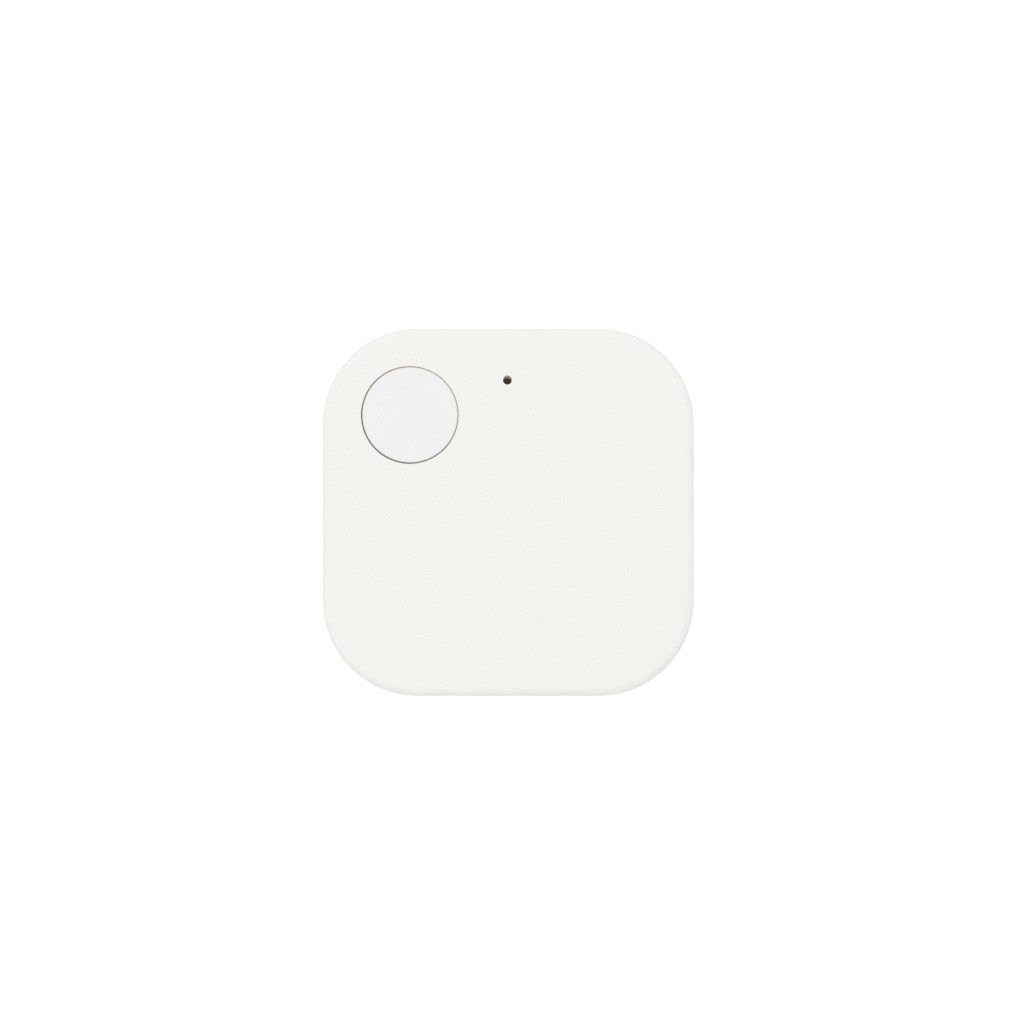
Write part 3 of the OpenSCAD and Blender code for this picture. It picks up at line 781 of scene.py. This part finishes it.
def led():
    """A ceramic base with a rounded lens, plated ends and their solder."""
    low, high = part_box("status_led")
    middle = (low + high) / 2
    base, dome = bmesh.new(), bmesh.new()
    step = low.z + 0.22 * MM
    brick(base, low, Vector((high.x, high.y, step)), 0.02)
    piece("status_led_base", base, "alumina", "rear_half", replaces=("status_led",))
    half = Vector((0.52, 0.4)) * MM
    outline = rectangle((middle.x - half.x, middle.y - half.y), (middle.x + half.x, middle.y + half.y))
    prism(dome, outline, step - 0.01 * MM, high.z, 0.09 * MM, 4)
    piece("status_led_lens", dome, "led_lens", "rear_half")
    for sign in (-1, 1):
        x = middle.x + sign * 0.8 * MM
        cap_low = (min(x, x - sign * 0.24 * MM) - 0.004 * MM, low.y - 0.004 * MM, low.z)
        cap_high = (max(x, x - sign * 0.24 * MM) + 0.004 * MM, high.y + 0.004 * MM, step + 0.015 * MM)
        brick(caps, cap_low, cap_high, 0.02)
        fillet(solder, (x - sign * 0.02 * MM, middle.y), (sign, 0), 0.74 * MM, 0.24 * MM, 0.16 * MM, BOARD)
        tip = x + sign * 0.34 * MM
        land((min(x, tip) - 0.1 * MM, low.y - 0.05 * MM), (max(x, tip) + 0.1 * MM, high.y + 0.05 * MM))


led()


# ---- Solder at the switch, the buzzer and the contacts ----


def larger_joints():
    """Fillets and lands at the terminals of the switch and the buzzer."""
    for node in ("switch_terminals", "buzzer_terminals"):
        body_low, body_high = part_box("switch_base" if node == "switch_terminals" else "buzzer_base")
        middle = (body_low + body_high) / 2
        for low, high in islands(node):
            centre = (low + high) / 2
            sign = 1 if centre.x > middle.x else -1
            x = high.x if sign > 0 else low.x
            reach, climb = 0.3 * MM, (high.z - low.z) * 0.9
            foot, tip = x - sign * 0.02 * MM, x + sign * reach
            fillet(solder, (foot, centre.y), (sign, 0), high.y - low.y, reach, climb, BOARD)
            land((min(x, tip) - 0.1 * MM, low.y - 0.12 * MM), (max(x, tip) + 0.1 * MM, high.y + 0.12 * MM))


larger_joints()


def contact_land():
    """The positive clip's foot sits on a land, with a bead of solder round its three free sides."""
    angle = math.radians(135)
    out = Vector((math.cos(angle), math.sin(angle)))
    side = Vector((-out.y, out.x))
    centre = Vector((CELL.x, CELL.y))
    low_r, high_r, half = 11.25 * MM, 13.95 * MM, 2.25 * MM
    outline = [(low_r, -half), (high_r, -half), (high_r, half), (low_r, half)]
    corners = [centre + out * r + side * s for r, s in outline]
    prism(lands, [(c.x, c.y) for c in corners], LAND_FROM, LAND_TO, 0.01 * MM)
    foot = centre + out * 13.58 * MM
    fillet(solder, foot, out, 3.8 * MM, 0.32 * MM, 0.15 * MM, BOARD)
    for sign in (-1, 1):
        edge = centre + out * 12.5 * MM + side * sign * 1.98 * MM
        fillet(solder, edge, side * sign, 1.9 * MM, 0.22 * MM, 0.14 * MM, BOARD)


contact_land()


# ---- Board artwork: tracks, vias, test lands and printed marks ----

# Millimetres: each track's width and the points it runs through
TRACKS = [
    # antenna feed through the matching parts to the chip
    (0.30, [(-5.2, -9.7), (-5.2, -9.3), (-6.4, -8.3)]),
    (0.30, [(-6.4, -7.1), (-6.4, -5.9), (-7.7, -4.4), (-7.7, -3.6), (-8.0, -2.35)]),
    (0.20, [(-7.4, -9.0), (-6.7, -8.4)]),
    (0.20, [(-6.4, -9.4), (-6.4, -8.6)]),
    # crystals
    (0.15, [(-12.6, -3.2), (-12.6, -4.9)]),
    (0.15, [(-11.35, -3.3), (-11.35, -4.2), (-10.2, -5.0)]),
    (0.15, [(-13.3, -1.1), (-14.0, -1.1), (-15.1, -0.3)]),
    (0.15, [(-13.3, -2.1), (-14.2, -2.1), (-15.1, -2.9)]),
    (0.15, [(-13.9, -3.0), (-13.3, -2.6)]),
    # chip to the small parts round it
    (0.15, [(-7.9, 1.15), (-6.9, 1.3)]),
    (0.15, [(-7.9, 0.65), (-7.4, 0.65), (-6.9, 0.45)]),
    (0.15, [(-7.9, -0.35), (-7.3, -0.35), (-6.9, -0.85)]),
    (0.15, [(-7.9, -0.85), (-7.5, -1.4), (-6.9, -1.75)]),
    (0.15, [(-7.9, -1.85), (-7.4, -2.3), (-6.9, -3.05)]),
    (0.15, [(-12.35, 2.1), (-12.35, 3.1)]),
    (0.15, [(-11.35, 2.1), (-11.35, 3.1)]),
    (0.15, [(-9.85, 2.1), (-9.85, 2.9), (-10.1, 3.2)]),
    (0.15, [(-8.85, 2.1), (-8.85, 2.9), (-9.1, 3.2)]),
    (0.15, [(-13.3, 0.4), (-14.2, 0.4), (-15.2, 0.8)]),
    (0.15, [(-8.2, -5.6), (-8.2, -6.4), (-9.7, -6.8)]),
    # switch and LED
    (0.18, [(-12.85, 2.1), (-12.85, 2.5), (-13.8, 3.6), (-13.8, 6.6), (-12.4, 8.57)]),
    (0.18, [(-15.2, 1.6), (-15.2, 2.4), (-14.6, 3.2), (-14.6, 10.9), (-12.6, 13.1), (-10.9, 13.97)]),
    (0.25, [(-7.3, 8.57), (-6.2, 8.57), (-5.1, 7.5), (-5.1, 6.2)]),
    (0.18, [(-7.3, 10.97), (-6.6, 11.7), (-6.6, 13.2), (-8.8, 13.97)]),
    (0.18, [(-5.9, 6.2), (-6.8, 5.3), (-6.8, 2.7), (-7.9, 1.65)]),
    # buzzer drive
    (0.35, [(2.5, 11.3), (3.3, 10.5), (3.3, 9.9), (4.0, 9.2)]),
    (0.35, [(4.35, 11.4), (4.35, 10.4)]),
    (0.35, [(2.6, 15.1), (4.4, 15.1), (5.3, 14.2), (5.3, 13.9)]),
    (0.20, [(6.25, 11.5), (7.2, 11.5), (7.9, 11.9)]),
    (0.20, [(8.9, 11.9), (9.5, 12.4), (8.9, 13.1)]),
    (0.20, [(7.9, 13.1), (7.3, 13.6), (8.1, 14.4)]),
    (0.35, [(6.4, 9.2), (6.9, 8.7), (7.4, 8.8)]),
    (0.20, [(7.4, 10.0), (7.4, 11.0), (7.9, 11.7)]),
    (0.20, [(3.1, 6.9), (1.9, 7.4), (0.9, 8.4)]),
    (0.20, [(-4.4, 9.6), (-3.9, 10.6), (-3.3, 11.3), (-2.8, 11.4)]),
    # supply from the positive clip round the cell to the bulk capacitor
    (0.60, [(-2.0, 4.9), (-0.6, 6.0), (0.9, 6.0), (4.1, 6.0), (5.4, 6.3), (8.4, 7.5), (9.7, 8.0)]),
    (0.60, [(12.3, 8.4), (13.4, 9.3), (13.4, 11.4), (11.2, 14.6), (9.1, 14.6)]),
    (0.30, [(-4.6, 3.6), (-5.5, 2.7), (-6.6, 1.5)]),
]
VIAS = (
    [(-16.2, y) for y in (-5.2, -3.9, 2.6, 5.2, 6.5, 7.8)]
    + [(x, 16.0) for x in (-7.0, -5.5, -4.0, 3.9, 5.4, 6.9)]
    + [(15.9, y) for y in (4.0, 8.0, 9.4, 10.8)]
    + [(-4.4, 9.6), (-6.2, 14.4), (10.2, 10.4), (11.4, 10.4), (12.6, 10.6), (0.9, 8.4), (2.2, 8.4)]
    + [(-13.9, -4.9), (-9.3, -3.9), (-5.9, -2.3), (-5.9, 0.0)]
    + [(-7.4, 3.6), (-12.7, -9.6), (-10.4, -8.9), (4.35, 10.3)]
)
TEST_LANDS = [(-12.9 + 1.35 * i, 5.1) for i in range(4)] + [(14.7, 9.3), (14.7, 10.7)]


def artwork():
    """Tracks under the solder mask, plated vias whose open middles are dark discs of painted shade, and
    round test lands.
    """
    tracks = bmesh.new()
    for width, points in TRACKS:
        strip(tracks, points, width, BOARD - 0.005 * MM, BOARD + 0.018 * MM)
    piece("board_tracks", tracks, "board_mask", "rear_half", sharp=50)
    rings, via_hole_shade = bmesh.new(), bmesh.new()
    for x, y in VIAS:
        centre = (x * MM, y * MM)
        outer, inner, top = 0.25 * MM, 0.13 * MM, BOARD + 0.026 * MM
        section = [(inner, BOARD), (outer, BOARD), (outer - 0.02 * MM, top), (inner + 0.01 * MM, top)]
        lathe(rings, centre, section, 24)
        # Painted shade: a dark disc fills each via's open middle
        prism(via_hole_shade, circle(centre, inner, 24), BOARD - 0.01 * MM, BOARD + 0.021 * MM)
    for x, y in TEST_LANDS:
        centre = (x * MM, y * MM)
        prism(rings, circle(centre, 0.42 * MM, 40), BOARD - 0.01 * MM, BOARD + 0.03 * MM, 0.008 * MM)
    piece("board_vias", rings, "gold_plate", "rear_half")
    piece("board_via_hole_shade", via_hole_shade, "dark", "rear_half")


artwork()


def printed_marks():
    """White printed corner marks and lines at the larger parts, a first-pin dot and a plus sign."""
    bm = bmesh.new()
    z0, z1 = BOARD - 0.002 * MM, BOARD + 0.012 * MM

    def corners(node, gap, arm, sides=(1, -1)):
        low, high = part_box(node)
        x0, y0 = low.x / MM - gap, low.y / MM - gap
        x1, y1 = high.x / MM + gap, high.y / MM + gap
        for x, sx in ((x0, 1), (x1, -1)):
            for y, sy in ((y0, 1), (y1, -1)):
                if sy in sides:
                    strip(bm, [(x + sx * arm, y), (x, y), (x, y + sy * arm)], 0.12, z0, z1)

    corners("bluetooth_chip", 0.5, 0.4, sides=(-1,))
    corners("main_crystal", 0.35, 0.5)
    corners("clock_crystal", 0.32, 0.4)
    corners("buzzer_base", 0.4, 0.9)
    corners("switch_base", 0.35, 0.55)
    corners("bulk_capacitor", 0.45, 0.45)
    low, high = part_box("drive_transistor")
    reach, y = (high.y - low.y) / MM / 2 - 0.1, (low.y + high.y) / MM / 2
    for x in (low.x / MM - 0.25, high.x / MM + 0.25):
        strip(bm, [(x, y - reach), (x, y + reach)], 0.12, z0, z1)
    low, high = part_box("bluetooth_chip")
    x, y = low.x / MM - 0.95, high.y / MM + 0.6
    prism(bm, circle((x * MM, y * MM), 0.16 * MM, 24), z0, z1)
    low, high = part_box("buzzer_base")
    x, y = low.x / MM - 1.0, high.y / MM - 0.6
    strip(bm, [(x - 0.4, y), (x + 0.4, y)], 0.14, z0, z1)
    strip(bm, [(x, y - 0.4), (x, y - 0.07)], 0.14, z0, z1)
    strip(bm, [(x, y + 0.07), (x, y + 0.4)], 0.14, z0, z1)
    piece("board_print", bm, "ink", "rear_half")


printed_marks()
piece("solder_joints", solder, "solder", "rear_half", sharp=60)
piece("board_lands", lands, "gold_plate", "rear_half")
piece("end_caps", caps, "tinned_lead", "rear_half")


# ---- Switch dome, and the buzzer's coil ----


def snap_dome():
    """A thin pressed dome of sheet, in its resting shape; it is not made to flatten as the button is
    pressed.
    """
    low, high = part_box("switch_dome")
    centre = ((low.x + high.x) / 2, (low.y + high.y) / 2)
    reach, rise, sheet = (high.x - low.x) / 2, high.z - low.z, 0.05 * MM
    steps = 14
    upper, lower = [], []
    for i in range(steps + 1):
        t = i / steps
        lift = (1 - t * t) ** 0.75 * (rise - sheet)
        upper.append((reach * t, low.z + sheet + lift))
        lower.append((reach * t, low.z + lift))
    bm = bmesh.new()
    lathe(bm, centre, upper + lower[::-1], 56)
    dome = piece("switch_dome_disc", bm, "spring_steel", "rear_half", replaces=("switch_dome",))
    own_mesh(dome)


snap_dome()


def wound_coil():
    """Enamelled wire seen as eight rounded turns, in place of the plain ring."""
    low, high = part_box("buzzer_coil")
    centre = ((low.x + high.x) / 2, (low.y + high.y) / 2)
    outer, inner = (high.x - low.x) / 2, 0.55 * MM
    turns = 8
    pitch = (high.z - low.z) / turns
    profile = [(inner, low.z), (outer - pitch * 0.3, low.z)]
    for t in range(turns):
        for k in range(1, 5):
            a = math.pi * k / 5
            z = low.z + pitch * (t + (1 - math.cos(a)) / 2)
            profile.append((outer - pitch * 0.5 + pitch * 0.5 * math.sin(a), z))
    profile += [(outer - pitch * 0.3, high.z), (inner, high.z)]
    bm = bmesh.new()
    lathe(bm, centre, profile, 64)
    piece("buzzer_coil_winding", bm, "coil_copper", "rear_half", sharp=80, replaces=("buzzer_coil",))


wound_coil()


# ---- Soft pieces and the cloth mesh ----


def foam_ring(name, node, r_in, r_out, squeeze, seed):
    """A soft foam disc or ring with a slightly crowned face, uneven by squeeze, and rounded edges."""
    low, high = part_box(node)
    centre = ((low.x + high.x) / 2, (low.y + high.y) / 2)
    mid, half = (low.z + high.z) / 2, (high.z - low.z) / 2
    bm = bmesh.new()
    count = 144 if r_out > 3 * MM else 72
    rings = max(6, int((r_out - r_in) / (0.16 * MM)))
    stations = [r_in + (r_out - r_in) * i / rings for i in range(rings + 1)]

    def height(r, a, sign):
        edge = min(r_out - r, (r - r_in) if r_in > 0 else 1.0)
        soft = min(1.0, edge / (half * 0.9))
        curve = math.sqrt(max(0.0, 1 - (1 - soft) ** 2))
        spot = Vector((r * math.cos(a) / MM * 3.1, r * math.sin(a) / MM * 3.1, seed + sign * 5.0))
        rough = noise.noise(spot) * 0.5 + noise.noise(spot * 2.7) * 0.3
        dip = squeeze * (0.5 + rough * 0.5) * (1.0 if sign < 0 else 0.2)
        return mid + sign * half * max(0.05, 0.25 + 0.75 * curve - dip)

    layers = {}
    for sign in (1, -1):
        for i, r in enumerate(stations):
            if r < 1e-9:
                layers[sign, i] = [bm.verts.new((*centre, height(0.0, 0.0, sign)))]
                continue
            layers[sign, i] = [
                bm.verts.new((
                    centre[0] + r * math.cos(2 * math.pi * k / count),
                    centre[1] + r * math.sin(2 * math.pi * k / count),
                    height(r, 2 * math.pi * k / count, sign),
                ))
                for k in range(count)
            ]
    for sign in (1, -1):
        for i in range(rings):
            one, two = layers[sign, i], layers[sign, i + 1]
            for k in range(count):
                m = (k + 1) % count
                corners = [one[0], two[k], two[m]] if len(one) == 1 else [one[k], two[k], two[m], one[m]]
                bm.faces.new(corners)
    for i in (0, rings):
        top, bottom = layers[1, i], layers[-1, i]
        if len(top) > 1:
            for k in range(count):
                m = (k + 1) % count
                bm.faces.new((top[k], top[m], bottom[m], bottom[k]))
    obj = piece(name, bm, "foam", "front_half", sharp=180, replaces=(node,))


foam_ring("cell_pad_foam", "cell_pad", 0.0, 6.0 * MM, 0.22, 3.0)
foam_ring("buzzer_gasket_foam", "buzzer_gasket", 0.9 * MM, 1.6 * MM, 0.1, 11.0)


def woven_mesh():
    """The dust mesh as real over-and-under threads, rolled flat, inside a neat bonded rim."""
    low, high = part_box("dust_mesh")
    centre = Vector(((low.x + high.x) / 2, (low.y + high.y) / 2, (low.z + high.z) / 2))
    rim = (high.x - low.x) / 2
    radius = rim * 0.9
    pitch, thread, wide, wave = 0.15 * MM, 0.0195 * MM, 0.052 * MM, 0.0195 * MM
    bm = bmesh.new()
    count = int(radius / pitch)
    for along in (0, 1):
        for i in range(-count, count + 1):
            side = i * pitch
            half = math.sqrt(max(0.0, radius * radius - side * side)) - wide
            if half < pitch:
                continue
            steps = max(4, int(half / pitch * 4))
            rows = []
            for s in range(-steps, steps + 1):
                t = half * s / steps
                phase = math.pi * (t / pitch + i + along)
                z = centre.z + wave * math.cos(phase)
                ring = []
                for k in range(6):
                    a = 2 * math.pi * k / 6
                    flat = [0.0, 0.0]
                    flat[along] = t
                    flat[1 - along] = side + wide * math.cos(a)
                    spot = (centre.x + flat[0], centre.y + flat[1], z + thread * math.sin(a))
                    ring.append(bm.verts.new(spot))
                rows.append(ring)
            skin(bm, rows)
    flat, inner = (high.z - low.z) / 2 * 0.98, rim * 0.78
    section = [(inner, -flat), (rim - flat / 2, -flat), (rim, 0.0), (rim - flat / 2, flat), (inner, flat)]
    lathe(bm, (centre.x, centre.y), [(r, centre.z + z) for r, z in section], 72)
    piece("dust_mesh_weave", bm, "mesh_cloth", "front_half", sharp=80, replaces=("dust_mesh",))


woven_mesh()


# ---- Coin cell and the inside of the front shell ----


def cell_mark():
    """The plus sign stamped into the cell's upper face."""
    bm = bmesh.new()
    x, y = CELL.x / MM, CELL.y / MM
    z0, z1 = CELL.z - 0.01 * MM, CELL.z + 0.004 * MM
    strip(bm, [(x - 1.6, y), (x + 1.6, y)], 0.45, z0, z1)
    strip(bm, [(x, y - 1.6), (x, y - 0.225)], 0.45, z0, z1)
    strip(bm, [(x, y + 0.225), (x, y + 1.6)], 0.45, z0, z1)
    piece("cell_plus_mark", bm, "dark", "coin_cell")


cell_mark()


def mould_marks():
    """Faint round ejector-pin marks on the inside of both shells."""
    front, rear = bmesh.new(), bmesh.new()
    ceiling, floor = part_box("dust_mesh")[1].z, 1.0 * MM
    for x, y in ((-13.0, -12.5), (13.5, 5.5), (-4.5, 2.0), (-13.2, -2.5), (6.0, 7.6)):
        profile = [(0.95, 0.0), (1.1, 0.0), (1.1, -0.03), (0.95, -0.03)]
        lathe(front, (x * MM, y * MM), [(r * MM, ceiling + z * MM) for r, z in profile], 40)
    for x, y in ((14.2, -13.4), (13.9, -1.0)):
        profile = [(0.75, 0.0), (0.9, 0.0), (0.9, 0.03), (0.75, 0.03)]
        lathe(rear, (x * MM, y * MM), [(r * MM, floor + z * MM) for r, z in profile], 40)
    piece("front_shell_pin_marks", front, "shell_plastic", "front_half")
    piece("rear_shell_pin_marks", rear, "shell_plastic", "rear_half")


mould_marks()


# ---- Floor, light and camera ----


def studio():
    """A white floor, a white sky a little brighter from one side, and one large soft lamp overhead."""
    bm = bmesh.new()
    prism(bm, circle((0, 0), 12.0, 96), -0.02, 0.0)
    mesh = bpy.data.meshes.new("floor")
    bm.to_mesh(mesh)
    bm.free()
    n = Nodes("floor_look")
    cloud = n.noise(40.0)
    mesh.materials.append(n.wire(
        Base_Color=n.blend(n.spread(cloud, 0, 1), (0.90, 0.90, 0.90), (0.89, 0.89, 0.89)),
        Roughness=0.9,
        Specular_IOR_Level=0.1,
        Emission_Color=(1, 1, 1, 1),
        Emission_Strength=0.24,
    ))
    floor = bpy.data.objects.new("floor", mesh)
    bpy.context.scene.collection.objects.link(floor)

    world = bpy.data.worlds.new("studio")
    bpy.context.scene.world = world
    world.use_nodes = True
    tree = world.node_tree
    coord = tree.nodes.new("ShaderNodeTexCoord").outputs["Generated"]
    split = tree.nodes.new("ShaderNodeSeparateXYZ")
    ramp = tree.nodes.new("ShaderNodeValToRGB")
    lean = tree.nodes.new("ShaderNodeVectorMath")
    lean.operation = "DOT_PRODUCT"
    lean.inputs[1].default_value = (-0.01, 0.042, 0.0)
    level = tree.nodes.new("ShaderNodeMath")
    level.inputs[1].default_value = 1.035
    tree.links.new(coord, split.inputs[0])
    tree.links.new(split.outputs["Z"], ramp.inputs[0])
    tree.links.new(coord, lean.inputs[0])
    tree.links.new(lean.outputs["Value"], level.inputs[0])
    tree.links.new(ramp.outputs[0], tree.nodes["Background"].inputs["Color"])
    tree.links.new(level.outputs[0], tree.nodes["Background"].inputs["Strength"])
    stops = ramp.color_ramp.elements
    stops[0].position, stops[0].color = 0.0, (1.0, 1.0, 1.0, 1)
    stops[1].position, stops[1].color = 1.0, (0.90, 0.897, 0.892, 1)
    stops.new(0.10).color = (0.91, 0.915, 0.925, 1)
    stops.new(0.35).color = (0.78, 0.79, 0.80, 1)
    stops.new(0.70).color = (0.84, 0.842, 0.845, 1)

    key = bpy.data.lights.new("key", "AREA")
    key.shape, key.size, key.energy, key.color = "DISK", 1.1, 2.8, (1.0, 0.99, 0.975)
    lamp = bpy.data.objects.new("key", key)
    lamp.location = (-0.12, 0.22, 0.88)
    lamp.rotation_euler = (-lamp.location).to_track_quat("-Z", "Y").to_euler()
    bpy.context.scene.collection.objects.link(lamp)


studio()

CAMERA_SHIFT = (0.38 * MM, 0.02 * MM)    # from the middle of the tag, seen from straight above
CAMERA_HEIGHT = 0.450
low, high = CAD_BOX
camera_data = bpy.data.cameras.new("camera")
camera_data.sensor_width = 36.0
camera_data.lens = 156.8
camera_data.clip_start, camera_data.clip_end = 0.01, 60.0
camera = bpy.data.objects.new("camera", camera_data)
middle = (low + high) / 2
camera.location = (middle.x + CAMERA_SHIFT[0], middle.y + CAMERA_SHIFT[1], CAMERA_HEIGHT)
bpy.context.scene.collection.objects.link(camera)
bpy.context.scene.camera = camera
bpy.context.scene.view_settings.view_transform = "Standard"
bpy.context.scene.view_settings.look = "None"
